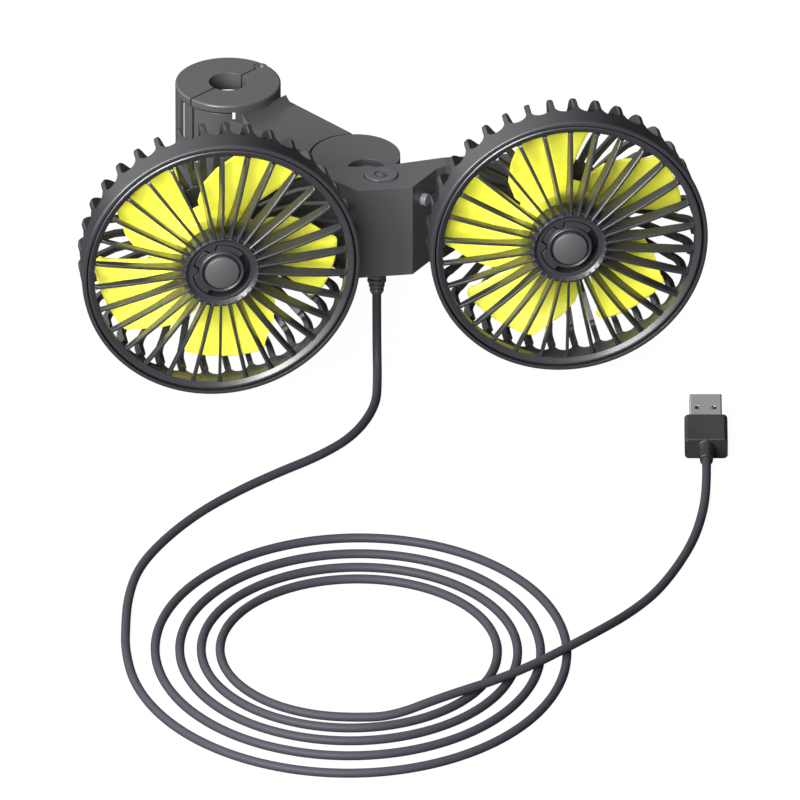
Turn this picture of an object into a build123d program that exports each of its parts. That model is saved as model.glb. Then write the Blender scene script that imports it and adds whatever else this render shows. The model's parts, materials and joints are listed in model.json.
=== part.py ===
"""Dual-head car fan: two caged fans on a central housing, carried by a swivel arm that clamps a headrest post.

Sizes are in millimetres. The frame's origin lies on the clamp's bore at mid height, +Z is up along
the bore, the fans face -Y and +X runs from the left head to the right head.
"""

import os
from math import atan2, cos, degrees, pi, radians, sin, tan

from build123d import *

os.makedirs("parts", exist_ok=True)

# Clamp: two jaws round a post, hinged on one side
clamp_radius = 19.7
clamp_height = 38.0
bore_radius = 7.1
flange_thickness = 2.8
collar_radius = 10.0
top_collar_depth = 7.0
bottom_collar_depth = 11.0
clamp_wall = 1.5
split_gap = 0.8
jaw_opening = 50.0
hinge_barrel_radius = 2.3
hinge_pin_radius = 1.15
middle_knuckle = 11.6
window_from = -110.5
window_to = -36.5
window_floor = -12.0
back_window_from = 126.0
back_window_to = 202.0
back_window_z = (-10.0, 6.0)
tongue_wall = 1.3
tongue_inset = 1.2
tongue_slit = 1.2

# Arm from the clamp to the swivel
arm_angle = -53.0
arm_length = 67.1
arm_top = 13.0
arm_bottom = 1.0
arm_root_half_width = 13.0
arm_end_half_width = 10.8
flare_height = 4.0
flare_reach = 5.0

# Swivel disc on the housing, running on the arm's eye plate
swivel_radius = 16.6
eye_radius = 15.8
swivel_disc_thickness = 6.0
swivel_gap = 0.3
swivel_side_gap = 0.7
axle_radius = 4.0
axle_head_radius = 6.5
axle_head_height = 2.0
axle_depth_in_disc = 3.6
washer_radius = 8.0
washer_thickness = 1.0
well_offset = (2.5, -10.8)
well_radius = 7.1
well_depth = 4.5
tension_head_radius = 5.4
tension_head_height = 2.6
tension_shank_radius = 1.6

# Housing between the heads, measured from its front face and centre line
housing_x = 46.5
housing_front_y = -88.6
housing_top = 16.7
housing_bottom = -20.0
front_half_width = 10.2
side_half_width = 20.9
side_depth = 12.8
housing_depth = 18.0
housing_wall = 1.8
wing_sweep = 8.0
wing_thickness = 6.5
wing_start = 25.0
wing_tip_half_height = 12.0
cover_half_width = 22.8
cover_thickness = 2.2
cover_screw_radius = 1.1
cover_screw_head_radius = 1.9
cover_screw_inset = 2.5

# Button, light and switch
button_length = 12.3
button_width = 9.6
button_y = 10.8
button_rise = 0.7
button_gap = 0.3
button_lip = 0.9
button_lip_height = 1.1
button_travel = 1.0
button_stem_radius = 1.5
ring_recess_outer = 2.65
ring_recess_inner = 1.7
ring_recess_depth = 0.6
lens_radius = 0.95
lens_rise = 0.25
board_half_width = 12.2
board_y = (6.6, 15.4)
board_top = 8.0
board_thickness = 1.2
board_post_x = 10.4
board_post_radius = 1.7
board_screw_radius = 0.8
board_screw_head_radius = 1.5
switch_size = 6.0
switch_height = 2.6
plunger_radius = 1.3
plunger_height = 0.8

# Small round studs on the slanted sides
stud_radius = 2.4
stud_height = 2.4
stud_share_along_side = 0.42
stud_below_top = 8.0

# Heads: depths are measured back from the plane of the lip
head_spacing = 130.3
head_ahead_of_housing = 26.2
head_axis_z = 1.2
lip_radius = 52.5
lip_depth = 2.5
band_radius = 51.5
band_wall = 2.0
rebate_radius = 51.1
ledge_depth = 4.5
ring_radius = 50.4
ring_step_radius = 48.8
opening_radius = 45.0
ring_inset = 0.4
ring_back = 6.0

# Front vanes and hub
vane_count = 30
vane_phase = 4.0
vane_thickness = 1.3
vane_hub_front = -1.3
vane_crown_radius = 31.0
vane_crown_front = -2.2
vane_back = 9.6
vane_taper_radius = 38.0
hub_radius = 13.75
hub_tooth_reach = 1.1
hub_inner_radius = 12.1
hub_front = -1.4
hub_back = 9.6
hub_floor = 6.5
cap_radius = 11.75
cap_front = -0.9
cap_back = 1.6
cap_ring_outer = 8.7
cap_ring_inner = 6.6
cap_ring_front = -1.7
cap_well_depth = 1.2
cap_stem_radius = 4.0
cap_notch_angles = (100.0, 185.0, 250.0, 20.0)
dome_radius = 6.4
dome_front = -2.3

# Rear cage
slot_end_depth = 10.5
tooth_width = 2.3
rib_thickness = 1.8
rib_height = 2.9
rib_knee_radius = 46.4
rib_knee_depth = 23.0
rib_elbow_radius = 36.9
rib_elbow_depth = 26.5
band_back = 18.6
rear_disc_radius = 20.5
rear_disc_front = 30.0
rear_disc_back = 33.0

# Impeller and motor
blade_count = 5
blade_span = 67.0
blade_thickness = 1.2
blade_tip_radius = 44.0
blade_front = 11.4
blade_back = 19.8
impeller_hub_radius = 17.0
impeller_wall = 1.4
impeller_front = 11.2
impeller_boss_radius = 3.2
left_blade_phase = 20.0
right_blade_phase = 56.5
motor_radius = 12.0
motor_length = 14.0
motor_boss_radius = 3.4
motor_boss_height = 1.0
shaft_radius = 1.0
running_gap = 0.05

# Tilt and pan pivots behind each head
tilt_depth = 40.0
cheek_gap = 0.25
tongue_half_width = 3.0
cheek_thickness = 2.8
cheek_radius = 4.5
bracket_radius = 11.0
bracket_thickness = 2.0
bracket_screw_circle = 8.2
neck_barrel_radius = 4.6
neck_slot_gap = 0.25
neck_slot_half_height = 5.0
lug_barrel_radius = 6.5
lug_slot_reach = 9.0
tilt_pin_radius = 1.5
pan_pin_radius = 1.75

# Cord, gland and plug
cord_radius = 1.7
cord_sides = 8
gland_x = -2.0
gland_y = 9.0
gland_length = 11.5
gland_top_radius = 3.45
gland_end_radius = 2.6
gland_neck_radius = 2.7
gland_flange_radius = 4.2
gland_rib_count = 3
floor_z = -66.0
plug_neck_length = 9.0
plug_neck_radius = 3.25
plug_body_length = 20.0
plug_body_width = 16.0
plug_body_thickness = 8.0
plug_shell_length = 18.5
plug_shell_width = 12.0
plug_shell_thickness = 4.5
plug_shell_wall = 0.35
plug_grip = 4.0

# Worked out from the sizes above
cord_z = floor_z + cord_radius
plug_z = floor_z + plug_body_thickness / 2
clamp_top = clamp_height / 2
clamp_bottom = -clamp_height / 2
hinge_y = clamp_radius - hinge_barrel_radius
head_lip_y = housing_front_y - head_ahead_of_housing
disc_bottom = arm_top - swivel_disc_thickness
eye_top = disc_bottom - swivel_gap
sweep_slope = tan(radians(wing_sweep))
wing_plan_thickness = wing_thickness / cos(radians(wing_sweep))
tip_x = head_spacing / 2
tip_y = housing_depth + tip_x * sweep_slope - wing_plan_thickness / 2
pan_depth = tip_y + head_ahead_of_housing
cheek_inner = tongue_half_width + cheek_gap
cheek_outer = cheek_inner + cheek_thickness
band_inner = band_radius - band_wall
bite = 0.6

# Planes: the arm's runs from the bore to the swivel, the housing's starts at its front face
arm_plane = Plane(
    origin=(0, 0, 0),
    x_dir=(cos(radians(arm_angle)), sin(radians(arm_angle)), 0),
    z_dir=(0, 0, 1),
)
housing_plane = Plane(origin=(housing_x, housing_front_y, 0))
swivel_centre = arm_plane.from_local_coords(Vector(arm_length, 0, 0))
swivel_plane = Plane(origin=(swivel_centre.X, swivel_centre.Y, 0))
clamp_section = Plane(origin=arm_plane.origin, x_dir=arm_plane.x_dir, z_dir=-arm_plane.y_dir)


def save(builder, name):
    """Label a finished piece and write its file."""
    builder.part.label = name
    export_step(builder.part, f"parts/{name}.step")


def sector(start, end, inner, outer):
    """A ring sector's flat outline, angles in degrees counter-clockwise from local x."""
    with BuildSketch() as outline:
        with BuildLine():
            rim = CenterArc((0, 0), outer, start, end - start)
            core = CenterArc((0, 0), inner, start, end - start)
            Line(rim @ 0, core @ 0)
            Line(rim @ 1, core @ 1)
        make_face()
    return outline.sketch_local


# Clamp jaws: flanges, collars and wall turned in one, then parted along the split
half_split = split_gap / 2
wall_inner = clamp_radius - clamp_wall
knuckle_top = middle_knuckle / 2
knuckle_clear = hinge_barrel_radius + 0.3

with BuildPart() as clamp_body:
    with BuildSketch(clamp_section):
        with BuildLine():
            Polyline(
                (bore_radius, clamp_top),
                (clamp_radius, clamp_top),
                (clamp_radius, clamp_bottom),
                (bore_radius, clamp_bottom),
                (bore_radius, clamp_bottom + bottom_collar_depth),
                (collar_radius, clamp_bottom + bottom_collar_depth),
                (collar_radius, clamp_bottom + flange_thickness),
                (wall_inner, clamp_bottom + flange_thickness),
                (wall_inner, clamp_top - flange_thickness),
                (collar_radius, clamp_top - flange_thickness),
                (collar_radius, clamp_top - top_collar_depth),
                (bore_radius, clamp_top - top_collar_depth),
                close=True,
            )
        make_face()
    revolve(axis=Axis.Z)
    rims = clamp_body.edges().filter_by(GeomType.CIRCLE).group_by(SortBy.RADIUS)[-1]
    fillet(rims, 0.7)
    with BuildSketch(arm_plane.offset(window_floor)):
        add(sector(window_from, window_to, wall_inner - 1, clamp_radius + 1))
    extrude(amount=clamp_top - flange_thickness - window_floor, mode=Mode.SUBTRACT)
    with BuildSketch(arm_plane.offset(back_window_z[0])):
        add(sector(back_window_from, back_window_to, wall_inner - 1, clamp_radius + 1))
    extrude(amount=back_window_z[1] - back_window_z[0], mode=Mode.SUBTRACT)


def tongue(start, end):
    """A springy tongue that stands on the bottom flange inside the window, as one solid."""
    outer = clamp_radius - tongue_inset
    with BuildPart() as piece:
        with BuildSketch(arm_plane.offset(clamp_bottom + flange_thickness - bite)):
            add(sector(start, end, outer - tongue_wall, outer))
        extrude(amount=clamp_height - 2 * flange_thickness - tongue_slit + bite)
    return piece.part


slit_angle = degrees(tongue_slit / clamp_radius)
split_angle = degrees(half_split / clamp_radius)
fixed_tongue = tongue(-90 + split_angle + 0.5, window_to - slit_angle)
jaw_tongue = tongue(window_from + slit_angle, -90 - split_angle - 0.5)

with BuildPart() as clamp_arm:
    add(clamp_body.part)
    with BuildSketch(arm_plane.offset(clamp_bottom - 1)):
        with Locations((clamp_radius / 2 + half_split, 0)):
            Rectangle(clamp_radius, 3 * clamp_radius)
    extrude(amount=clamp_height + 2, mode=Mode.INTERSECT)
    add(fixed_tongue)
    with BuildSketch(arm_plane.offset(clamp_bottom)):
        with Locations((0, hinge_y)):
            Circle(hinge_barrel_radius)
    extrude(amount=clamp_height)
    with BuildSketch(arm_plane.offset(-knuckle_top - 0.3)):
        with Locations((0, hinge_y)):
            Circle(knuckle_clear)
    extrude(amount=middle_knuckle + 0.6, mode=Mode.SUBTRACT)
    # The arm, its flare under the top flange and the eye plate under the disc
    with BuildSketch(arm_plane.offset(arm_bottom)):
        with BuildLine():
            Polyline(
                (wall_inner, arm_root_half_width),
                (arm_length - 5, arm_end_half_width),
                (arm_length - 5, -arm_end_half_width),
                (wall_inner, -arm_root_half_width),
                (wall_inner - 6, -arm_root_half_width),
                (wall_inner - 6, arm_root_half_width),
                close=True,
            )
        make_face()
        Circle(wall_inner + bite, mode=Mode.SUBTRACT)
    extrude(amount=arm_top - arm_bottom)
    with BuildSketch(clamp_section.offset(-arm_root_half_width + 1.5)):
        with BuildLine():
            under = clamp_top - flange_thickness
            root = (clamp_radius - bite, arm_top - bite)
            top = (clamp_radius - bite, under)
            toe = (clamp_radius + flare_reach, arm_top - bite)
            Line(root, top)
            Line(root, toe)
            ThreePointArc(top, (clamp_radius + 0.3 * flare_reach, arm_top + 0.3 * (under - arm_top)), toe)
        make_face()
    extrude(amount=2 * arm_root_half_width - 3)
    with BuildSketch(arm_plane.offset(eye_top)):
        with Locations((arm_length, 0)):
            Circle(swivel_radius + swivel_side_gap)
    extrude(amount=arm_top - eye_top + 1, mode=Mode.SUBTRACT)
    with BuildSketch(arm_plane.offset(arm_bottom)):
        with Locations((arm_length, 0)):
            Circle(eye_radius)
    extrude(amount=eye_top - arm_bottom)
    with BuildSketch(arm_plane.offset(arm_bottom)):
        with Locations((arm_length, 0)):
            Circle(axle_radius + running_gap)
    extrude(amount=eye_top - arm_bottom, mode=Mode.SUBTRACT)
    with BuildSketch(arm_plane.offset(clamp_bottom)):
        with Locations((0, hinge_y)):
            Circle(hinge_pin_radius + running_gap)
    extrude(amount=clamp_height, mode=Mode.SUBTRACT)
save(clamp_arm, "clamp_arm")

with BuildPart() as clamp_jaw:
    add(clamp_body.part)
    with BuildSketch(arm_plane.offset(clamp_bottom - 1)):
        with Locations((-clamp_radius / 2 - half_split, 0)):
            Rectangle(clamp_radius, 3 * clamp_radius)
    extrude(amount=clamp_height + 2, mode=Mode.INTERSECT)
    add(jaw_tongue)
    # Clear the fixed jaw's knuckles and whatever would swing into it past the pin
    with BuildSketch(arm_plane.offset(clamp_bottom)):
        with Locations((0, hinge_y)):
            Circle(knuckle_clear)
        with BuildLine():
            swing = radians(90 + jaw_opening)
            Polyline(
                (0, hinge_y),
                (12 * cos(swing), hinge_y + 12 * sin(swing)),
                (0, hinge_y + 12),
                close=True,
            )
        make_face()
    extrude(amount=clamp_height, mode=Mode.SUBTRACT)
    with BuildSketch(arm_plane.offset(-knuckle_top)):
        with Locations((0, hinge_y)):
            Circle(hinge_barrel_radius)
        with BuildLine():
            Polyline(
                (0, hinge_y),
                (-5, hinge_y - 0.8),
                (-5.5, hinge_y + 1.1),
                (-1.5, hinge_y + 1.7),
                close=True,
            )
        make_face()
    extrude(amount=middle_knuckle)
    with BuildSketch(arm_plane.offset(-knuckle_top)):
        with Locations((0, hinge_y)):
            Circle(hinge_pin_radius + running_gap)
    extrude(amount=middle_knuckle, mode=Mode.SUBTRACT)
save(clamp_jaw, "clamp_jaw")

with BuildPart() as hinge_pin:
    with BuildSketch(arm_plane.offset(clamp_bottom + 0.4)):
        with Locations((0, hinge_y)):
            Circle(hinge_pin_radius)
    extrude(amount=clamp_height - 0.8)
save(hinge_pin, "hinge_pin")

# Swivel fasteners, seen from below the eye plate and in the disc's well
well_plane = Plane(origin=(swivel_centre.X + well_offset[0], swivel_centre.Y + well_offset[1], 0))
well_floor = arm_top - well_depth
washer_top = arm_bottom - 0.15

with BuildPart() as swivel_axle:
    with BuildSketch(swivel_plane.offset(washer_top - washer_thickness - axle_head_height)):
        Circle(axle_head_radius)
        Rectangle(1.6, 2 * axle_head_radius, mode=Mode.SUBTRACT)
    extrude(amount=axle_head_height * 0.45)
    with BuildSketch(swivel_plane.offset(washer_top - washer_thickness - axle_head_height * 0.55)):
        Circle(axle_head_radius)
    extrude(amount=axle_head_height * 0.55)
    with BuildSketch(swivel_plane.offset(washer_top - washer_thickness)):
        Circle(axle_radius)
    extrude(amount=disc_bottom + axle_depth_in_disc - washer_top + washer_thickness)
save(swivel_axle, "swivel_axle")

with BuildPart() as swivel_washer:
    with BuildSketch(swivel_plane.offset(washer_top - washer_thickness)):
        Circle(washer_radius)
        Circle(axle_radius + running_gap, mode=Mode.SUBTRACT)
    extrude(amount=washer_thickness)
save(swivel_washer, "swivel_washer")

with BuildPart() as tension_screw:
    with BuildSketch(well_plane.offset(well_floor)):
        Circle(tension_head_radius)
    extrude(amount=tension_head_height)
    fillet(tension_screw.faces().sort_by(Axis.Z)[-1].edges(), tension_head_height * 0.6)
    with BuildSketch(well_plane.offset(disc_bottom + 0.2)):
        Circle(tension_shank_radius)
    extrude(amount=well_floor - disc_bottom)
    with BuildSketch(well_plane.offset(well_floor + tension_head_height - 1)):
        Rectangle(1.1, 5)
        Rectangle(5, 1.1)
    extrude(amount=1.5, mode=Mode.SUBTRACT)
save(tension_screw, "tension_screw")

# Housing shell: plan outline swept up, the wings then tapered to their tips
cover_front = housing_depth - cover_thickness


def rear_face_y(x):
    """Depth of the housing's shallow V-shaped rear face at a distance from the centre line."""
    return housing_depth + abs(x) * sweep_slope


def housing_outline():
    """The plan of the housing with both wings."""
    wing_front = rear_face_y(wing_start) - wing_plan_thickness
    tip_front = rear_face_y(tip_x) - wing_plan_thickness
    with BuildSketch() as outline:
        with BuildLine():
            Polyline(
                (0, 0),
                (front_half_width, 0),
                (side_half_width, side_depth),
                (wing_start, wing_front),
                (tip_x, tip_front),
                (tip_x, rear_face_y(tip_x)),
                (0, housing_depth),
            )
            mirror(about=Plane.YZ)
        make_face()
    return outline.sketch_local


def cavity_outline(wall):
    """The plan of the box's inside, as far from the faces as the wall is thick."""
    slope = (side_half_width - front_half_width) / side_depth
    inner_front = front_half_width - wall * 0.6
    inner_side = inner_front + slope * (side_depth - wall)
    inner_back = rear_face_y(inner_side) + 1
    with BuildSketch() as outline:
        with BuildLine():
            Polyline(
                (0, wall),
                (inner_front, wall),
                (inner_side, side_depth),
                (inner_side, inner_back),
                (0, inner_back),
            )
            mirror(about=Plane.YZ)
        make_face()
    return outline.sketch_local


def cover_outline(half_width, front_gap):
    """The plan of the V-shaped band that the rear cover fills, cut at a half width."""
    with BuildSketch() as outline:
        with BuildLine():
            Polyline(
                (0, cover_front - front_gap),
                (half_width, cover_front + half_width * sweep_slope - front_gap),
                (half_width, rear_face_y(half_width)),
                (0, housing_depth),
            )
            mirror(about=Plane.YZ)
        make_face()
    return outline.sketch_local


housing_height = housing_top - housing_bottom
cavity_top = housing_top - housing_wall
cavity_bottom = housing_bottom + housing_wall
tip_places = [(-tip_x, tip_y), (tip_x, tip_y)]
pin_bottom = head_axis_z - wing_tip_half_height
cover_screw_z = [cavity_bottom + 4, cavity_top - 4]
cover_screw_x = [-cover_half_width + cover_screw_inset, cover_half_width - cover_screw_inset]

with BuildPart() as housing_shell:
    with BuildSketch(housing_plane.offset(housing_bottom)):
        add(housing_outline())
    extrude(amount=housing_height)
    with BuildSketch(Plane(origin=(housing_x, housing_front_y - 5, 0), x_dir=(1, 0, 0), z_dir=(0, -1, 0))):
        with BuildLine():
            Polyline(
                (0, housing_top),
                (wing_start, housing_top),
                (tip_x + 1, head_axis_z + wing_tip_half_height),
                (tip_x + 1, head_axis_z - wing_tip_half_height),
                (wing_start, housing_bottom),
                (0, housing_bottom),
            )
            mirror(about=Plane.YZ)
        make_face()
    extrude(amount=-housing_depth * 2.5, mode=Mode.INTERSECT)
    with BuildSketch(housing_plane.offset(pin_bottom)):
        with Locations(*tip_places):
            Circle(lug_barrel_radius)
    extrude(amount=2 * wing_tip_half_height)
    with BuildSketch(housing_plane.offset(head_axis_z - neck_slot_half_height)):
        with Locations((-tip_x - lug_slot_reach / 2, tip_y), (tip_x + lug_slot_reach / 2, tip_y)):
            Rectangle(3 * lug_slot_reach, 4 * lug_barrel_radius)
    extrude(amount=2 * neck_slot_half_height, mode=Mode.SUBTRACT)
    with BuildSketch(housing_plane.offset(pin_bottom)):
        with Locations(*tip_places):
            Circle(pan_pin_radius + running_gap)
    extrude(amount=2 * wing_tip_half_height, mode=Mode.SUBTRACT)
    with BuildSketch(housing_plane.offset(cavity_bottom)):
        add(cavity_outline(housing_wall))
    extrude(amount=cavity_top - cavity_bottom, mode=Mode.SUBTRACT)
    with BuildSketch(housing_plane.offset(cavity_bottom)):
        add(cover_outline(cover_half_width + 0.15, 0))
    extrude(amount=cavity_top - cavity_bottom, mode=Mode.SUBTRACT)
    # Button slot, posts for the board, gland hole
    with BuildSketch(housing_plane.offset(cavity_top)):
        with Locations((0, button_y)):
            SlotOverall(button_length + 2 * button_gap, button_width + 2 * button_gap)
    extrude(amount=housing_wall, mode=Mode.SUBTRACT)
    with BuildSketch(housing_plane.offset(board_top)):
        with Locations((-board_post_x, sum(board_y) / 2), (board_post_x, sum(board_y) / 2)):
            Circle(board_post_radius)
            Circle(board_screw_radius + running_gap, mode=Mode.SUBTRACT)
    extrude(amount=cavity_top - board_top)
    with BuildSketch(housing_plane.offset(housing_bottom)):
        with Locations((gland_x, gland_y)):
            Circle(gland_neck_radius + running_gap)
    extrude(amount=housing_wall, mode=Mode.SUBTRACT)
    for screw_x in cover_screw_x:
        for screw_z in cover_screw_z:
            ledge_y = housing_front_y + cover_front + abs(screw_x) * sweep_slope
            with BuildSketch(Plane(origin=(housing_x + screw_x, ledge_y, screw_z), z_dir=(0, -1, 0))):
                Circle(cover_screw_radius + running_gap)
            extrude(amount=4, both=True, mode=Mode.SUBTRACT)
save(housing_shell, "housing_shell")

lip_top = cavity_top - 0.2
tab_left = swivel_centre.X - housing_x - swivel_radius
with BuildPart() as rear_cover:
    with BuildSketch(housing_plane.offset(cavity_bottom + 0.15)):
        add(cover_outline(cover_half_width, -0.02))
    extrude(amount=cavity_top - cavity_bottom - 0.3)
    with BuildSketch(housing_plane.offset(disc_bottom)):
        with Locations((swivel_centre.X - housing_x, swivel_centre.Y - housing_front_y)):
            Circle(swivel_radius)
        with BuildLine():
            Polyline(
                (tab_left + 0.3, swivel_centre.Y - housing_front_y - 4),
                (tab_left + 2.4, housing_depth + 1),
                (9, housing_depth - 0.5),
                (5.5, housing_depth + 7),
                (-6, housing_depth + 12),
                close=True,
            )
        make_face()
    extrude(amount=swivel_disc_thickness)
    with BuildSketch(housing_plane.offset(lip_top - button_lip_height - button_travel - 0.4)):
        with Locations((0, button_y)):
            SlotOverall(button_length + 2 * button_lip + 0.8, button_width + 2 * button_lip + 0.8)
    extrude(amount=button_lip_height + button_travel + 1, mode=Mode.SUBTRACT)
    with BuildSketch(swivel_plane.offset(disc_bottom)):
        Circle(axle_radius + running_gap)
    extrude(amount=axle_depth_in_disc, mode=Mode.SUBTRACT)
    with BuildSketch(well_plane.offset(well_floor)):
        Circle(well_radius)
    extrude(amount=well_depth, mode=Mode.SUBTRACT)
    with BuildSketch(well_plane.offset(disc_bottom)):
        Circle(tension_shank_radius + running_gap)
    extrude(amount=well_floor - disc_bottom, mode=Mode.SUBTRACT)
    for screw_x in cover_screw_x:
        for screw_z in cover_screw_z:
            back_y = housing_front_y + rear_face_y(screw_x)
            with BuildSketch(Plane(origin=(housing_x + screw_x, back_y, screw_z), z_dir=(0, -1, 0))):
                Circle(cover_screw_radius + running_gap)
            extrude(amount=2 * cover_thickness, both=True, mode=Mode.SUBTRACT)
            with BuildSketch(Plane(origin=(housing_x + screw_x, back_y, screw_z), z_dir=(0, -1, 0))):
                Circle(cover_screw_head_radius + 0.2)
            extrude(amount=1.2, both=True, mode=Mode.SUBTRACT)
save(rear_cover, "rear_cover")

with BuildPart() as cover_screws:
    for screw_x in cover_screw_x:
        for screw_z in cover_screw_z:
            seat_y = housing_front_y + rear_face_y(screw_x) - 1.2
            with BuildSketch(Plane(origin=(housing_x + screw_x, seat_y, screw_z), z_dir=(0, -1, 0))):
                Circle(cover_screw_radius)
            extrude(amount=3.6)
            with BuildSketch(Plane(origin=(housing_x + screw_x, seat_y, screw_z), z_dir=(0, 1, 0))):
                Circle(cover_screw_head_radius)
                Rectangle(2.6, 0.6, mode=Mode.SUBTRACT)
                Rectangle(0.6, 2.6, mode=Mode.SUBTRACT)
            extrude(amount=0.7)
            with BuildSketch(Plane(origin=(housing_x + screw_x, seat_y, screw_z), z_dir=(0, 1, 0))):
                Circle(cover_screw_radius)
            extrude(amount=0.3)
save(cover_screws, "cover_screws")

# Button, its light, the switch and the board
with BuildPart() as power_button:
    with BuildSketch(housing_plane.offset(lip_top - button_lip_height)):
        with Locations((0, button_y)):
            SlotOverall(button_length + 2 * button_lip, button_width + 2 * button_lip)
    extrude(amount=button_lip_height)
    with BuildSketch(housing_plane.offset(lip_top)):
        with Locations((0, button_y)):
            SlotOverall(button_length, button_width)
    extrude(amount=housing_top + button_rise - lip_top)
    fillet(power_button.faces().sort_by(Axis.Z)[-1].edges(), 0.4)
    with BuildSketch(housing_plane.offset(housing_top + button_rise - ring_recess_depth)):
        with Locations((0, button_y)):
            Circle(ring_recess_outer)
            Circle(ring_recess_inner, mode=Mode.SUBTRACT)
    extrude(amount=ring_recess_depth, mode=Mode.SUBTRACT)
    with BuildSketch(housing_plane.offset(housing_top + button_rise - ring_recess_depth)):
        with Locations((0, button_y)):
            Circle(lens_radius + running_gap)
    extrude(amount=ring_recess_depth, mode=Mode.SUBTRACT)
    with BuildSketch(housing_plane.offset(board_top + switch_height + plunger_height + button_travel + 0.3)):
        with Locations((0, button_y)):
            Circle(button_stem_radius)
    extrude(amount=lip_top - board_top - switch_height - plunger_height - button_travel - 0.3)
save(power_button, "power_button")

with BuildPart() as button_lens:
    with BuildSketch(housing_plane.offset(housing_top + button_rise - ring_recess_depth)):
        with Locations((0, button_y)):
            Circle(lens_radius)
    extrude(amount=ring_recess_depth + lens_rise)
    fillet(button_lens.faces().sort_by(Axis.Z)[-1].edges(), 0.2)
save(button_lens, "button_lens")

with BuildPart() as switch_body:
    with BuildSketch(housing_plane.offset(board_top)):
        with Locations((0, button_y)):
            Rectangle(switch_size, switch_size)
    extrude(amount=switch_height)
    with BuildSketch(housing_plane.offset(board_top + switch_height)):
        with Locations((0, button_y)):
            Circle(plunger_radius)
    extrude(amount=plunger_height)
save(switch_body, "switch_body")

with BuildPart() as circuit_board:
    with BuildSketch(housing_plane.offset(board_top - board_thickness)):
        with Locations((0, sum(board_y) / 2)):
            RectangleRounded(2 * board_half_width, board_y[1] - board_y[0], 1)
        with Locations((-board_post_x, sum(board_y) / 2), (board_post_x, sum(board_y) / 2)):
            Circle(board_screw_radius + running_gap, mode=Mode.SUBTRACT)
    extrude(amount=board_thickness)
save(circuit_board, "circuit_board")

with BuildPart() as board_screws:
    with BuildSketch(housing_plane.offset(board_top - board_thickness - 1)):
        with Locations((-board_post_x, sum(board_y) / 2), (board_post_x, sum(board_y) / 2)):
            Circle(board_screw_head_radius)
    extrude(amount=1)
    with BuildSketch(housing_plane.offset(board_top - board_thickness)):
        with Locations((-board_post_x, sum(board_y) / 2), (board_post_x, sum(board_y) / 2)):
            Circle(board_screw_radius)
    extrude(amount=board_thickness + 4)
save(board_screws, "board_screws")

# Studs on the slanted sides, seated flat on them
side_run = side_half_width - front_half_width
side_angle = atan2(side_depth, side_run)
with BuildPart() as side_studs:
    for side in (-1, 1):
        foot = (
            housing_x + side * (front_half_width + stud_share_along_side * side_run),
            housing_front_y + stud_share_along_side * side_depth,
            housing_top - stud_below_top,
        )
        outward = (side * sin(side_angle), -cos(side_angle), 0)
        with BuildSketch(Plane(origin=foot, x_dir=(0, 0, 1), z_dir=outward)):
            Circle(stud_radius)
        extrude(amount=stud_height)
    fillet(side_studs.edges().filter_by(GeomType.CIRCLE), 0.3)
save(side_studs, "side_studs")

# Cord gland: a flange inside the floor of the box, ribs below it, a neck that ends on the cord
gland_foot = housing_bottom - gland_length
gland_plane = Plane(
    origin=(housing_x + gland_x, housing_front_y + gland_y, 0),
    x_dir=(1, 0, 0),
    z_dir=(0, -1, 0),
)
gland_axis = Axis((housing_x + gland_x, housing_front_y + gland_y, 0), (0, 0, 1))
with BuildPart() as cord_gland:
    with BuildSketch(gland_plane):
        with BuildLine():
            Polyline(
                (0, cavity_bottom + 1.2),
                (gland_flange_radius, cavity_bottom + 1.2),
                (gland_flange_radius, cavity_bottom),
                (gland_neck_radius, cavity_bottom),
                (gland_neck_radius, housing_bottom - 0.1),
                (gland_top_radius, housing_bottom - 0.1),
                (gland_top_radius, housing_bottom - 1.3),
                (gland_neck_radius, housing_bottom - 1.9),
                (gland_end_radius, gland_foot + 1),
                (gland_end_radius - 0.3, gland_foot),
                (0, gland_foot),
                close=True,
            )
        make_face()
    revolve(axis=gland_axis)
    for rib in range(gland_rib_count):
        with BuildSketch(gland_plane):
            with Locations((0, housing_bottom - 3.2 - 1.9 * rib)):
                Rectangle(2 * (gland_top_radius - 0.1 - 0.18 * rib), 1.0)
                with Locations((-gland_top_radius, 0)):
                    Rectangle(2 * gland_top_radius, 2, mode=Mode.SUBTRACT)
        revolve(axis=gland_axis)
save(cord_gland, "cord_gland")

# Head pieces, each made once on its own axis: +Z runs back from the plane of the lip
pitch = 360 / vane_count
mid_band = (band_radius + band_inner) / 2
slot_radius = (2 * pi * mid_band / vane_count - tooth_width) / 2

with BuildPart() as vane:
    with BuildSketch(Plane.XZ):
        with BuildLine():
            Polyline(
                (hub_radius - bite, vane_hub_front),
                (vane_crown_radius, vane_crown_front),
                (opening_radius + bite, ring_inset),
                (opening_radius + bite, ring_back),
                (vane_taper_radius, ring_back),
                (vane_crown_radius, vane_back),
                (hub_radius - bite, vane_back),
                close=True,
            )
        make_face()
    extrude(amount=vane_thickness / 2, both=True)

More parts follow.
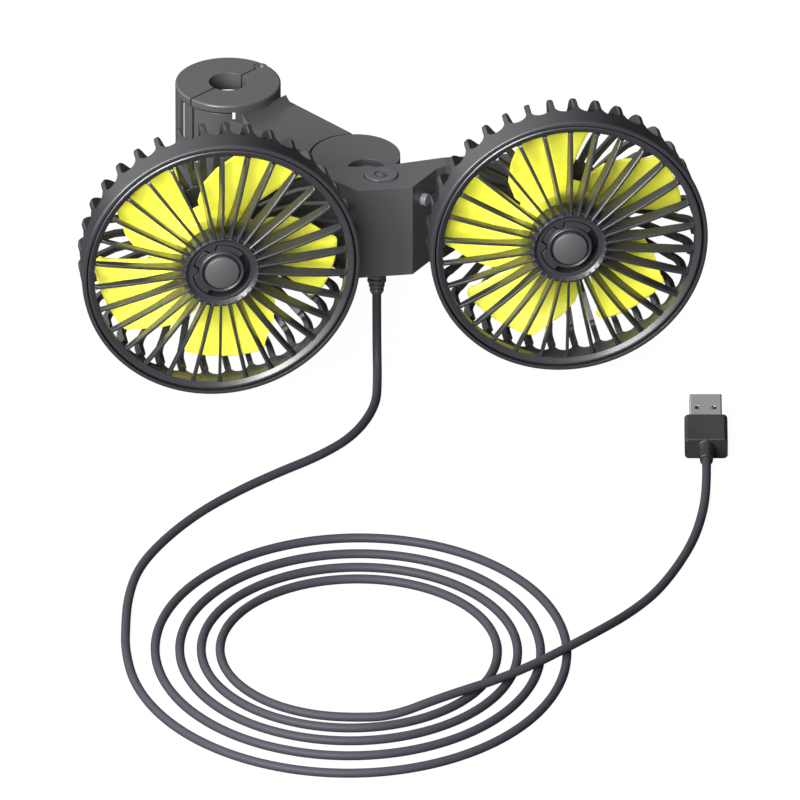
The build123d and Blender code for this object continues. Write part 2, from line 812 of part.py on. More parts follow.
with BuildPart() as front_grille:
    with BuildSketch(Plane.XZ):
        with BuildLine():
            Polyline(
                (opening_radius, ring_inset + 0.5),
                (opening_radius + 0.5, ring_inset),
                (ring_step_radius, ring_inset),
                (ring_step_radius, 0),
                (ring_radius, 0),
                (ring_radius, ledge_depth),
                (opening_radius + 2, ledge_depth),
                (opening_radius + 2, ring_back),
                (opening_radius, ring_back),
                close=True,
            )
        make_face()
        with BuildLine():
            Polyline(
                (hub_inner_radius, hub_front),
                (hub_radius, hub_front),
                (hub_radius, hub_back),
                (0, hub_back),
                (0, hub_floor),
                (hub_inner_radius, hub_floor),
                close=True,
            )
        make_face()
    revolve(axis=Axis.Z)
    with PolarLocations(0, vane_count, start_angle=-vane_phase):
        add(vane.part)
    with BuildSketch(Plane.XY.offset(hub_front + 0.6)):
        with PolarLocations(hub_radius + hub_tooth_reach / 2, vane_count, start_angle=pitch / 2 - vane_phase):
            Rectangle(hub_tooth_reach + bite, vane_thickness)
    extrude(amount=2.4)

with BuildPart() as hub_cap:
    with BuildSketch(Plane.XZ):
        with BuildLine():
            Polyline(
                (0, cap_ring_front + cap_well_depth),
                (cap_ring_inner, cap_ring_front + cap_well_depth),
                (cap_ring_inner, cap_ring_front),
                (cap_ring_outer - 0.5, cap_ring_front),
                (cap_ring_outer, cap_front),
                (cap_radius, cap_front),
                (cap_radius, cap_back),
                (cap_stem_radius, cap_back),
                (cap_stem_radius, hub_floor),
                (0, hub_floor),
                close=True,
            )
        make_face()
    revolve(axis=Axis.Z)
    with BuildSketch(Plane.XY.offset(cap_front)):
        for angle in cap_notch_angles:
            with PolarLocations(cap_radius - 0.9, 1, start_angle=angle):
                Rectangle(2.2, 1.6)
    extrude(amount=0.8, mode=Mode.SUBTRACT)

with BuildPart() as hub_dome:
    with BuildSketch(Plane.XZ):
        with BuildLine():
            dome_back = cap_ring_front + cap_well_depth
            Line((0, dome_back), (dome_radius, dome_back))
            Line((dome_radius, dome_back), (dome_radius, cap_ring_front + 0.2))
            TangentArc((0, dome_front), (dome_radius, cap_ring_front + 0.2), tangent=(1, 0))
            Line((0, dome_front), (0, dome_back))
        make_face()
    revolve(axis=Axis.Z)

with BuildPart() as rib:
    with BuildSketch(Plane.XZ):
        with BuildLine():
            Polyline(
                (band_radius - 0.5, slot_end_depth + slot_radius + 1),
                (band_radius - 0.8, band_back),
                (band_radius - 1.7, band_back + 2.4),
                (rib_knee_radius + 1.4, rib_knee_depth),
                (rib_elbow_radius + 1.4, rib_elbow_depth),
                (rear_disc_radius - 2, rear_disc_back - 0.6),
                (rear_disc_radius - 2, rear_disc_front),
                (rib_elbow_radius, rib_elbow_depth - rib_height),
                (rib_knee_radius, rib_knee_depth - rib_height),
                (band_radius - 4.2, band_back - 0.4),
                (band_inner - 0.6, slot_end_depth + slot_radius + 1),
                close=True,
            )
        make_face()
    extrude(amount=rib_thickness / 2, both=True)

with BuildPart() as rear_cage:
    with BuildSketch(Plane.XZ):
        with BuildLine():
            Polyline(
                (rebate_radius, 0),
                (lip_radius - 0.4, 0),
                (lip_radius, 0.4),
                (lip_radius, lip_depth),
                (band_radius, lip_depth + 0.8),
                (band_radius - 0.6, band_back),
                (band_inner, band_back),
                (band_inner, ledge_depth),
                (rebate_radius, ledge_depth),
                close=True,
            )
        make_face()
        with BuildLine():
            Polyline(
                (motor_boss_radius + 0.1, rear_disc_front),
                (rear_disc_radius, rear_disc_front),
                (rear_disc_radius, rear_disc_back - 0.6),
                (rear_disc_radius - 0.6, rear_disc_back),
                (motor_boss_radius + 0.1, rear_disc_back),
                close=True,
            )
        make_face()
    revolve(axis=Axis.Z)
    slot_middle = slot_end_depth + slot_radius
    for index in range(vane_count):
        angle = radians(index * pitch + pitch / 2 - vane_phase)
        side = Plane(
            origin=(0, 0, 0),
            x_dir=(0, 0, 1),
            z_dir=(cos(angle), sin(angle), 0),
        )
        with BuildSketch(side.offset(band_inner - 1)):
            with Locations((slot_middle, 0)):
                Circle(slot_radius)
            with Locations((slot_middle + slot_radius * 1.5, 0)):
                Rectangle(3 * slot_radius, 2 * slot_radius)
        extrude(amount=band_wall + 3, mode=Mode.SUBTRACT)
    with PolarLocations(0, vane_count, start_angle=-vane_phase):
        add(rib.part)
    with BuildSketch(Plane.XY.offset(rear_disc_front)):
        with PolarLocations(bracket_screw_circle, 2, start_angle=90):
            Circle(cover_screw_radius + running_gap)
    extrude(amount=rear_disc_back - rear_disc_front, mode=Mode.SUBTRACT)

# Impeller: a hub cup with blades that come forward as they turn
boss_back = impeller_front + 5.5
with BuildPart() as blade:
    middle = (blade_front + blade_back) / 2
    rise = (blade_back - blade_front) / 2
    half_span = tan(radians(blade_span / 2))
    for radius in (impeller_hub_radius - 1, blade_tip_radius + 1):
        reach = radius * half_span
        with BuildSketch(Plane(origin=(radius, 0, 0), x_dir=(0, 1, 0), z_dir=(1, 0, 0))):
            with BuildLine():
                Polyline(
                    (-reach, middle - rise),
                    (reach, middle + rise - blade_thickness),
                    (reach, middle + rise),
                    (-reach, middle - rise + blade_thickness),
                    close=True,
                )
            make_face()
    loft(ruled=True)
    with BuildSketch(Plane.XY.offset(blade_front - 2)):
        Circle(blade_tip_radius)
        Circle(impeller_hub_radius - 0.7, mode=Mode.SUBTRACT)
    extrude(amount=blade_back - blade_front + 4, mode=Mode.INTERSECT)

with BuildPart() as impeller:
    with BuildSketch(Plane.XZ):
        with BuildLine():
            Polyline(
                (shaft_radius + 0.03, impeller_front),
                (impeller_hub_radius - 0.8, impeller_front),
                (impeller_hub_radius, impeller_front + 0.8),
                (impeller_hub_radius, blade_back + 0.6),
                (impeller_hub_radius - impeller_wall, blade_back + 0.6),
                (impeller_hub_radius - impeller_wall, impeller_front + impeller_wall),
                (impeller_boss_radius, impeller_front + impeller_wall),
                (impeller_boss_radius, boss_back - 3.0),
                (shaft_radius + 0.03, boss_back - 3.0),
                close=True,
            )
        make_face()
    revolve(axis=Axis.Z)
    with PolarLocations(0, blade_count):
        add(blade.part)

motor_front = rear_disc_front - motor_length
with BuildPart() as motor_can:
    with BuildSketch(Plane.XZ):
        with BuildLine():
            Polyline(
                (shaft_radius + running_gap, motor_front - motor_boss_height),
                (motor_boss_radius, motor_front - motor_boss_height),
                (motor_boss_radius, motor_front),
                (motor_radius - 0.8, motor_front),
                (motor_radius, motor_front + 0.8),
                (motor_radius, rear_disc_front),
                (motor_boss_radius, rear_disc_front),
                (motor_boss_radius, rear_disc_back - 1.0),
                (0, rear_disc_back - 1.0),
                (0, rear_disc_back - 2.0),
                (shaft_radius + running_gap, rear_disc_back - 2.0),
                close=True,
            )
        make_face()
    revolve(axis=Axis.Z)

with BuildPart() as motor_shaft:
    with BuildSketch(Plane.XY.offset(impeller_front + 0.4)):
        Circle(shaft_radius)
    extrude(amount=rear_disc_back - 2.2 - impeller_front - 0.4)

# Bracket with two cheeks for the tilt pin, screwed to the rear disc
cheek_tail = tilt_depth - rear_disc_back - bracket_thickness
with BuildPart() as pivot_bracket:
    with BuildSketch(Plane.XY.offset(rear_disc_back)):
        Circle(bracket_radius)
        with PolarLocations(bracket_screw_circle, 2, start_angle=90):
            Circle(cover_screw_radius + running_gap, mode=Mode.SUBTRACT)
    extrude(amount=bracket_thickness)
    for side in (-1, 1):
        cheek_middle = side * (cheek_inner + cheek_outer) / 2
        with BuildSketch(Plane(origin=(cheek_middle, 0, tilt_depth), x_dir=(0, 1, 0), z_dir=(1, 0, 0))):
            Circle(cheek_radius)
            with Locations((0, -cheek_tail / 2)):
                Rectangle(2 * cheek_radius, cheek_tail)
            Circle(tilt_pin_radius + 0.02, mode=Mode.SUBTRACT)
        extrude(amount=cheek_thickness / 2, both=True)

with BuildPart() as bracket_screws:
    with BuildSketch(Plane.XY.offset(rear_disc_front + 0.4)):
        with PolarLocations(bracket_screw_circle, 2, start_angle=90):
            Circle(cover_screw_radius)
    extrude(amount=rear_disc_back - rear_disc_front + bracket_thickness - 0.4)
    with BuildSketch(Plane.XY.offset(rear_disc_back + bracket_thickness)):
        with PolarLocations(bracket_screw_circle, 2, start_angle=90):
            Circle(cover_screw_head_radius)
    extrude(amount=1.2)

with BuildPart() as neck:
    with BuildSketch(Plane(origin=(0, 0, pan_depth), x_dir=(1, 0, 0), z_dir=(0, 1, 0))):
        Circle(neck_barrel_radius)
    extrude(amount=neck_slot_half_height - neck_slot_gap, both=True)
    with BuildSketch(Plane(origin=(0, 0, tilt_depth), x_dir=(0, 1, 0), z_dir=(1, 0, 0))):
        Circle(cheek_radius - 0.2)
        with Locations((0, (pan_depth - tilt_depth) / 2)):
            Rectangle(2 * cheek_radius - 0.4, pan_depth - tilt_depth)
    extrude(amount=tongue_half_width, both=True)
    with BuildSketch(Plane(origin=(0, 0, pan_depth), x_dir=(1, 0, 0), z_dir=(0, 1, 0))):
        Circle(pan_pin_radius + running_gap)
    extrude(amount=2 * neck_slot_half_height, both=True, mode=Mode.SUBTRACT)
    with BuildSketch(Plane(origin=(0, 0, tilt_depth), x_dir=(0, 1, 0), z_dir=(1, 0, 0))):
        Circle(tilt_pin_radius + running_gap)
    extrude(amount=2 * tongue_half_width, both=True, mode=Mode.SUBTRACT)

with BuildPart() as tilt_pin:
    with BuildSketch(Plane(origin=(0, 0, tilt_depth), x_dir=(0, 1, 0), z_dir=(1, 0, 0))):
        Circle(tilt_pin_radius)
    extrude(amount=cheek_outer, both=True)

with BuildPart() as pan_pin:
    with BuildSketch(Plane(origin=(0, 0, pan_depth), x_dir=(1, 0, 0), z_dir=(0, 1, 0))):
        Circle(pan_pin_radius)
    extrude(amount=wing_tip_half_height, both=True)

head_pieces = {
    "front_grille": front_grille,
    "hub_cap": hub_cap,
    "hub_dome": hub_dome,
    "rear_cage": rear_cage,
    "impeller": impeller,
    "motor_can": motor_can,
    "motor_shaft": motor_shaft,
    "pivot_bracket": pivot_bracket,
    "bracket_screws": bracket_screws,
    "tilt_pin": tilt_pin,
    "neck": neck,
    "pan_pin": pan_pin,
}
heads = {
    "left": (housing_x - tip_x, left_blade_phase),
    "right": (housing_x + tip_x, right_blade_phase),
}
for side, (head_x, phase) in heads.items():
    head_place = Location((head_x, head_lip_y, head_axis_z), (-90, 0, 0))
    for name, piece in head_pieces.items():
        turn = Location((0, 0, 0), (0, 0, -phase)) if name == "impeller" else Location()
        with BuildPart() as placed:
            with Locations(head_place * turn):
                add(piece.part)
        save(placed, f"{side}_{name}")

# Cord: it drops from the gland, lies down in a flat spiral and comes out over its own turns
coil_angle = -8.3
coil_centre = (5.2, -292.6)
coil_half_width = 84.0
coil_half_depth = 97.2
coil_width_shrink = 0.9676
coil_depth_shrink = 0.9627
coil_quarters = 17
half_turn = cos(radians(45))
coil_plane = Plane(
    origin=(coil_centre[0], coil_centre[1], cord_z),
    x_dir=(cos(radians(coil_angle)), sin(radians(coil_angle)), 0),
    z_dir=(0, 0, 1),
)


def cord_tube(path, name):
    """Sweep the cord's section along a path, write it and print its length against its volume."""
    start = Plane(origin=path @ 0, z_dir=path % 0)
    with BuildPart() as tube:
        with BuildLine():
            add(path)
        with BuildSketch(start):
            RegularPolygon(cord_radius, cord_sides)
        sweep()
    section = cord_sides / 2 * cord_radius**2 * sin(2 * pi / cord_sides)
    ratio = tube.part.volume / (section * path.length)
    print(f"{name}: length {path.length:.1f}, volume against section times length {ratio:.4f}")
    save(tube, name)


def free_run(points, name):
    """Join straight runs by tangent arcs as large as the runs allow, printing the radii."""
    corners = [Vector(*point) for point in points]
    radii = []
    for before, corner, after in zip(corners, corners[1:], corners[2:]):
        turned = (corner - before).get_angle(after - corner)
        shorter = min((corner - before).length, (after - corner).length)
        radii.append(0.45 * shorter / tan(radians(turned / 2)))
    print(f"{name}: radii", [round(radius, 1) for radius in radii])
    with BuildLine() as route:
        FilletPolyline(*corners, radius=radii)
    cord_tube(route.wires()[0], name)


with BuildLine(coil_plane) as coil_route:
    point = Vector(-coil_half_width, 0)
    heading = 270.0
    for quarter in range(coil_quarters):
        shrink_here = (coil_width_shrink, coil_depth_shrink)[quarter % 2] ** quarter
        shrink_next = (coil_depth_shrink, coil_width_shrink)[quarter % 2] ** (quarter + 1)
        here = (coil_half_width, coil_half_depth)[quarter % 2] * shrink_here
        there = (coil_half_depth, coil_half_width)[quarter % 2] * shrink_next
        first = (half_turn * there - (1 - half_turn) * here) / (2 * half_turn - 1)
        second = (half_turn * here - (1 - half_turn) * there) / (2 * half_turn - 1)
        for radius in (first, second):
            tangent = Vector(cos(radians(heading)), sin(radians(heading)))
            normal = Vector(-tangent.Y, tangent.X)
            middle_way = radians(heading + 22.5)
            finish = radians(heading + 45)
            centre = point + normal * radius
            mid_point = centre + Vector(sin(middle_way), -cos(middle_way)) * radius
            end_point = centre + Vector(sin(finish), -cos(finish)) * radius
            ThreePointArc(point, mid_point, end_point)
            point = end_point
            heading += 45
coil_path = coil_plane.from_local_coords(coil_route.wires()[0])
coil_start = coil_path @ 0
coil_end = coil_path @ 1
print("coil starts", coil_start, coil_path % 0, "ends", coil_end, coil_path % 1)

samples = [coil_path @ (step / 1200) for step in range(1201)]
spacing = coil_path.length / 1200
apart = int(30 / spacing)
least = min(
    (one - other).length
    for index, one in enumerate(samples)
    for other in samples[index + apart :]
)
print(f"coil: least gap between turns {least - 2 * cord_radius:.2f}")
cord_tube(coil_path, "cord_coil")

coil_lead = coil_path % 0
coil_exit = coil_path % 1
drop_points = [
    (housing_x + gland_x, housing_front_y + gland_y, gland_foot),
    (44.5, -79.6, -52.0),
    (43.6, -88.0, cord_z),
    (40.0, -108.0, cord_z),
    (28.8, -129.2, cord_z),
    (14.0, -142.8, cord_z),
    (-2.5, -153.0, cord_z),
    (-19.2, -164.8, cord_z),
    (-36.3, -179.6, cord_z),
    (-52.2, -198.6, cord_z),
    (-64.6, -218.9, cord_z),
    (-71.4, -240.8, cord_z),
    tuple(coil_start - coil_lead * 20),
    tuple(coil_start),
]
free_run(drop_points, "cord_drop")

hump_z = cord_z + 4 * cord_radius
plug_angle = 81.7
plug_direction = Vector(cos(radians(plug_angle)), sin(radians(plug_angle)), 0)
cord_end = Vector(154.6, -171.2, plug_z)
tail_points = [
    tuple(coil_end),
    tuple(coil_end + coil_exit * 14),
    (30.6, -339.3, hump_z),
    (60.5, -325.5, hump_z),
    (93.1, -299.6, hump_z),
    (110.5, -278.3, cord_z),
    (124.2, -261.4, cord_z),
    (139.4, -232.3, cord_z),
    (147.6, -208.5, cord_z + 0.6),
    tuple(cord_end - plug_direction * 18),
    tuple(cord_end),
]
free_run(tail_points, "cord_tail")

# Plug: a moulded grip round a folded metal shell, its tongue and four contacts
plug_plane = Plane(origin=cord_end, x_dir=(plug_direction.Y, -plug_direction.X, 0), z_dir=plug_direction)
plug_neck_end = plug_plane.offset(plug_neck_length)
body_end = plug_plane.offset(plug_neck_length + plug_body_length)
shell_start = plug_plane.offset(plug_neck_length + plug_body_length - plug_grip)
shell_reach = plug_shell_length + plug_grip

with BuildPart() as plug_body:
    with BuildSketch(plug_plane):
        Circle(cord_radius + 0.7)
    with BuildSketch(plug_neck_end):
        Circle(plug_neck_radius)
    loft()
    with BuildSketch(plug_neck_end):
        RectangleRounded(plug_body_width, plug_body_thickness, 1.6)
    extrude(amount=plug_body_length)
    fillet(plug_body.faces().sort_by(Axis(cord_end, plug_direction))[-1].edges(), 0.8)
    with BuildSketch(shell_start):
        Rectangle(plug_shell_width + 0.06, plug_shell_thickness + 0.06)
    extrude(amount=plug_grip, mode=Mode.SUBTRACT)
save(plug_body, "plug_body")

with BuildPart() as plug_shell:
    with BuildSketch(shell_start):
        RectangleRounded(plug_shell_width, plug_shell_thickness, 0.5)
    extrude(amount=shell_reach)
    with BuildSketch(shell_start.offset(2)):
        Rectangle(plug_shell_width - 2 * plug_shell_wall, plug_shell_thickness - 2 * plug_shell_wall)
    extrude(amount=shell_reach - 2, mode=Mode.SUBTRACT)
    with BuildSketch(Plane(origin=body_end.offset(8).origin, x_dir=plug_plane.x_dir, z_dir=(0, 0, 1))):
        with Locations((-3, 0), (3, 0)):
            RectangleRounded(2.2, 2.6, 0.9)
    extrude(amount=plug_shell_thickness, both=True, mode=Mode.SUBTRACT)
save(plug_shell, "plug_shell")

tongue_thickness = 1.8
tongue_y = plug_shell_thickness / 2 - plug_shell_wall - tongue_thickness / 2 - 0.03
with BuildPart() as plug_tongue:
    with BuildSketch(shell_start.offset(2)):
        with Locations((0, tongue_y)):
            Rectangle(plug_shell_width - 2 * plug_shell_wall - 0.1, tongue_thickness)
    extrude(amount=shell_reach - 2.6)
save(plug_tongue, "plug_tongue")

with BuildPart() as plug_contacts:
    with BuildSketch(body_end.offset(3)):
        with Locations((0, tongue_y - tongue_thickness / 2 - 0.12)):
            with GridLocations(2.3, 1, 4, 1):
                Rectangle(1.1, 0.22)
    extrude(amount=plug_shell_length - 5)
save(plug_contacts, "plug_contacts")
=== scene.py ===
# %% [markdown]
# A dual-head car fan in a plain studio. The construction comes in ready made, as a frame of separate
# pieces at their real size in metres, and none of them is moved or reshaped here. What this lesson adds
# is the look: the finish of every piece, the cord as one smooth line, the studio light and the camera.

# %% Load the frame
import json
import math

import bmesh
import bpy
import numpy as np
from mathutils import Matrix, Vector

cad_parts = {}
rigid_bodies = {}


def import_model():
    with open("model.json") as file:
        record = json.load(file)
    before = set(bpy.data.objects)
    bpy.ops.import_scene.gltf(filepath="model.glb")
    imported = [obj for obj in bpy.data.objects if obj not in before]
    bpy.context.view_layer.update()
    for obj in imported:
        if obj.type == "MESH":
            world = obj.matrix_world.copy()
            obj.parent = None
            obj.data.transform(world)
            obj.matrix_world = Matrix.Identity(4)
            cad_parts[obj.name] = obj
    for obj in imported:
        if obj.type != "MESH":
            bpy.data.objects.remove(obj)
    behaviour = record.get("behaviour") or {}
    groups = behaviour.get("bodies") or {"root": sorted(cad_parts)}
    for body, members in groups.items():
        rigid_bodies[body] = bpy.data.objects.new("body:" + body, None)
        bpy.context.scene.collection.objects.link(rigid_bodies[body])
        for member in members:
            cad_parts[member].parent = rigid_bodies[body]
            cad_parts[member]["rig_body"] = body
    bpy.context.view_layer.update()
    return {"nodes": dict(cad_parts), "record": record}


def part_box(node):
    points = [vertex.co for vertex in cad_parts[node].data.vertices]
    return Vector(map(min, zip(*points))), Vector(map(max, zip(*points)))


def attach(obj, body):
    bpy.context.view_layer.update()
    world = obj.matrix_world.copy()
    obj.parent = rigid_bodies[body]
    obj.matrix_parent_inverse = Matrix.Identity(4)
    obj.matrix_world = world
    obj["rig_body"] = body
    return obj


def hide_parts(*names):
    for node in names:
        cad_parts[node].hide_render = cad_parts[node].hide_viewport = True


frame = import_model()
MM = 0.001
slot_of = {entry["node"]: entry["material_slot"] for entry in frame["record"]["subparts"]}

# %% [markdown]
# The picture of the fan was taken with a long lens, so nearly parallel: the far clamp is as large as the
# near cord. A camera that far away needs a very long lens too. The camera looks at one point of the
# object, from a little left of the front and from above, and the frame's width there is a real length.

# %% Camera
view_azimuth = math.radians(-8.3)
view_elevation = math.radians(28.4)
view_width = 296.85 * MM
aim = Vector((46.6, -125.1, -52.8)) * MM
lens_mm = 1500.0
sensor_mm = 36.0

backward = Vector(
    (
        math.sin(view_azimuth) * math.cos(view_elevation),
        -math.cos(view_azimuth) * math.cos(view_elevation),
        math.sin(view_elevation),
    )
)
camera = bpy.data.objects.new("camera", bpy.data.cameras.new("camera"))
bpy.context.scene.collection.objects.link(camera)
camera.data.lens = lens_mm
camera.data.sensor_width = sensor_mm
camera.data.clip_end = 100.0
camera.location = aim + backward * (view_width * lens_mm / sensor_mm)
camera.rotation_euler = (math.pi / 2 - view_elevation, 0, view_azimuth)
bpy.context.scene.camera = camera
print("camera stands", round((camera.location - aim).length, 2), "m from the fan")

# %% [markdown]
# The lead of a small fan is a flexible cable in a soft PVC jacket, 3.4 mm thick. It hangs out of its
# gland, lands on the table, turns four times in a flat spiral and rises over its own turns to the plug.
# One NURBS curve draws all of it: its control points are the corners of the route, and between them the
# line bends as evenly as a real cable does. The spiral's points come from a formula. The points' own
# radius gives the cable its thickness, since a curve's box grows by that radius.

# %% Cord route
cord_radius = 1.7
table_z = -66.0
lying = table_z + cord_radius
gland_x, gland_y = 44.5, -79.6
gland_foot = (gland_x, gland_y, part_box("cord_gland")[0].z / MM)

falling = [
    gland_foot,
    (gland_x, gland_y, -52.0),
    (43.6, -88.0, lying),
    (40.0, -108.0, lying),
    (28.8, -129.2, lying),
    (14.0, -142.8, lying),
    (-2.5, -153.0, lying),
    (-19.2, -164.8, lying),
    (-36.3, -179.6, lying),
    (-52.2, -198.6, lying),
    (-64.6, -218.9, lying),
    (-71.4, -240.8, lying),
    (-75.0, -260.7, lying),
]

coil_turn = math.radians(-8.3)
coil_centre = np.array((5.2, -292.6))
coil_half_width, coil_width_shrink = 84.0, 0.9676
coil_half_depth, coil_depth_shrink = 97.2, 0.9627
coil_quarters = 17
points_per_quarter = 6


def spiral(steps):
    """Flat spiral points: an ellipse whose two half axes each shrink by a steady share every quarter turn."""
    quarter = np.linspace(0.0, coil_quarters, steps)
    angle = quarter * math.pi / 2
    x = -coil_half_width * coil_width_shrink**quarter * np.cos(angle)
    y = -coil_half_depth * coil_depth_shrink**quarter * np.sin(angle)
    c, s = math.cos(coil_turn), math.sin(coil_turn)
    flat = np.stack((c * x - s * y, s * x + c * y), axis=1) + coil_centre
    return np.column_stack((flat, np.full(steps, lying)))


# Over its own turns the cord's middle rises by a little more than the cord is thick.
crossing = lying + 2.25 * cord_radius
plug_angle = math.radians(81.7)
plug_way = np.array((math.cos(plug_angle), math.sin(plug_angle), 0.0))
plug_entry = np.array((154.6, -171.2, -62.0))
plug_straight = 18.0
rising = [
    (11.7, -345.0, lying + 0.5),
    (30.6, -339.3, crossing),
    (60.5, -325.5, crossing),
    (93.1, -299.6, crossing),
    (110.5, -278.3, lying),
    (124.2, -261.4, lying),
    (139.4, -232.3, lying),
    (147.6, -208.5, lying + 0.6),
    tuple(plug_entry - plug_way * plug_straight),
    tuple(plug_entry),
]

# %% [markdown]
# The curve's bevel makes it a round tube.

# %% Cord curve
route = np.vstack((falling, spiral(coil_quarters * points_per_quarter + 1), rising)) * MM
cord_data = bpy.data.curves.new("cord", "CURVE")
cord_data.dimensions = "3D"
cord_data.resolution_u = 8
cord_data.bevel_depth = 1.0
cord_data.bevel_resolution = 5
line = cord_data.splines.new("NURBS")
line.points.add(len(route) - 1)
line.points.foreach_set("co", np.column_stack((route, np.ones(len(route)))).ravel())
line.points.foreach_set("radius", np.full(len(route), cord_radius * MM))
line.order_u = 3
line.use_endpoint_u = True
cord = bpy.data.objects.new("cord", cord_data)
bpy.context.scene.collection.objects.link(cord)
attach(cord, "housing")
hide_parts("cord_drop", "cord_coil", "cord_tail")
print("cord control points:", len(route))

# %% [markdown]
# The heads are drawn again here with more of their real form than the frame carries: 36 ribs that bend
# round into the rear disc, 30 leaning vanes with soft front edges, and slots with round ends. Two
# functions make all of it. One turns a closed outline round an axis, and the outline may change with
# the angle. The other sweeps a bar between two edges and repeats it round the axis.

# %% Two shapes
weld_distance = 1e-6
dressed = []


def turned(outline, steps):
    """A closed outline of (radius, depth) points turned round the axis, asked for again at every angle."""
    angles = np.arange(steps) * 2 * math.pi / steps
    loops = np.array([outline(angle) for angle in angles], float)
    across = np.stack((np.cos(angles), np.sin(angles)), axis=1)[:, None, :] * loops[:, :, :1]
    points = np.concatenate((across, loops[:, :, 1:]), axis=2)
    index = np.arange(points.shape[0] * points.shape[1]).reshape(points.shape[:2])
    ahead = np.roll(index, -1, axis=0)
    faces = np.stack((index, np.roll(index, -1, axis=1), np.roll(ahead, -1, axis=1), ahead), axis=2)
    return points.reshape(-1, 3), faces.reshape(-1, 4).tolist()


def bars(edge, root, half_width, rounding, count, first_angle, lean=0.0):
    """Bars round the axis, each swept along its shown edge and its root line of (radius, depth) points."""
    edge, root = np.array(edge, float), np.array(root, float)
    half = np.broadcast_to(half_width, len(edge))
    inward = (root - edge) / np.linalg.norm(root - edge, axis=1)[:, None]
    inset = edge + inward * rounding
    section = [
        (root, -half),
        (root, half),
        (inset, half),
        (edge, half - rounding),
        (edge, rounding - half),
        (inset, -half),
    ]
    lines = [np.column_stack((line[:, 0], side - lean * line[:, 1], line[:, 1])) for line, side in section]
    bar = np.stack(lines, axis=1)
    index = np.arange(bar.shape[0] * bar.shape[1]).reshape(bar.shape[:2])
    across = np.roll(index, -1, axis=1)
    walls = np.stack((index[:-1], across[:-1], across[1:], index[1:]), axis=2).reshape(-1, 4)
    faces = walls.tolist() + [index[0].tolist(), index[-1].tolist()]
    flat = bar.reshape(-1, 3)
    points, repeated = [], []
    for copy in range(count):
        angle = first_angle + copy * 2 * math.pi / count
        turn = np.array(((math.cos(angle), math.sin(angle)), (-math.sin(angle), math.cos(angle))))
        points.append(np.column_stack((flat[:, :2] @ turn, flat[:, 2])))
        repeated += [[i + copy * len(flat) for i in face] for face in faces]
    return np.vstack(points), repeated


def arc(centre, radius, start, end, steps=7):
    """Points on an arc of (radius, depth), its angles in degrees from straight out towards the back."""
    turn = np.radians(np.linspace(start, end, steps))
    return [(centre[0] + radius * math.cos(a), centre[1] + radius * math.sin(a)) for a in turn]


def build(name, shapes, place, node):
    """Join shapes given in millimetres into one object that stands for a node of the frame."""
    points, faces, start = [], [], 0
    for shape_points, shape_faces in shapes:
        points.append(shape_points)
        faces += [[i + start for i in face] for face in shape_faces]
        start += len(shape_points)
    here = np.column_stack((np.vstack(points), np.ones(start))) @ np.array(place).T
    mesh = bpy.data.meshes.new(name)
    mesh.from_pydata(here[:, :3].tolist(), [], faces)
    tidy = bmesh.new()
    tidy.from_mesh(mesh)
    bmesh.ops.remove_doubles(tidy, verts=tidy.verts, dist=weld_distance)
    bmesh.ops.recalc_face_normals(tidy, faces=tidy.faces)
    tidy.to_mesh(mesh)
    tidy.free()
    mesh.shade_flat()
    made = bpy.data.objects.new(name, mesh)
    bpy.context.scene.collection.objects.link(made)
    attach(made, frame["nodes"][node]["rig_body"])
    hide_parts(node)
    dressed.append((made, slot_of[node]))
    return made


def away(angle, targets, pitch=None):
    """The least angle, in radians, to any of the targets, or to a pattern that starts at the first one."""
    if pitch:
        return abs((angle - targets[0] + pitch / 2) % pitch - pitch / 2)
    return min(abs((angle - target + math.pi) % (2 * math.pi) - math.pi) for target in targets)


# %% [markdown]
# The rear cage is one moulding: a band with a rolled lip, a rebate that holds the grille's ring, and 36
# ribs that run straight back, bend inwards and meet the rear disc. Between two ribs the band ends in a
# half circle. Angles are counted as seen from behind, so a place seen from the front has its sign turned.

# %% Cage
band_radius, band_inner, lip_radius = 51.3, 49.1, 52.0
rib_count, rib_half, rib_phase = 36, 1.05, math.radians(-5.0)
rib_pitch = 2 * math.pi / rib_count
rib_outer, rib_deep, bend, straight_to = 51.15, 3.2, 6.0, 19.5
slot_middle, wall_middle = 14.0, 50.2
slot_radius = (wall_middle * rib_pitch - 2 * rib_half) / 2
rebate_radius, rebate_depth, lip_rounding = 50.5, 4.5, 0.7
disc_radius, disc_hole, disc_front, disc_back, disc_soft = 20.5, 3.45, 30.0, 33.0, 0.6


def band_outline(angle):
    """The band's section, whose back end is scooped out by the half circle of each slot."""
    beside = wall_middle * (rib_pitch / 2 - away(angle, [rib_phase], rib_pitch))
    scoop = math.sqrt(max(slot_radius**2 - beside**2, 0.0))
    back = slot_middle - scoop
    lip = arc((lip_radius - lip_rounding, lip_rounding), lip_rounding, -90, 0, 5)
    outside = lip + [(lip_radius, 2.5), (band_radius, 3.2), (band_radius, back)]
    inside = [(band_inner, back), (band_inner, rebate_depth), (rebate_radius, rebate_depth)]
    return outside + inside + [(rebate_radius, 0.0)]


def disc_outline(_):
    """The rear disc's section, a flat ring round the motor's pivot with a soft rim."""
    return [
        (disc_hole, disc_front),
        (disc_radius, disc_front),
        (disc_radius, disc_back - disc_soft),
        (disc_radius - disc_soft, disc_back),
        (disc_hole, disc_back),
    ]


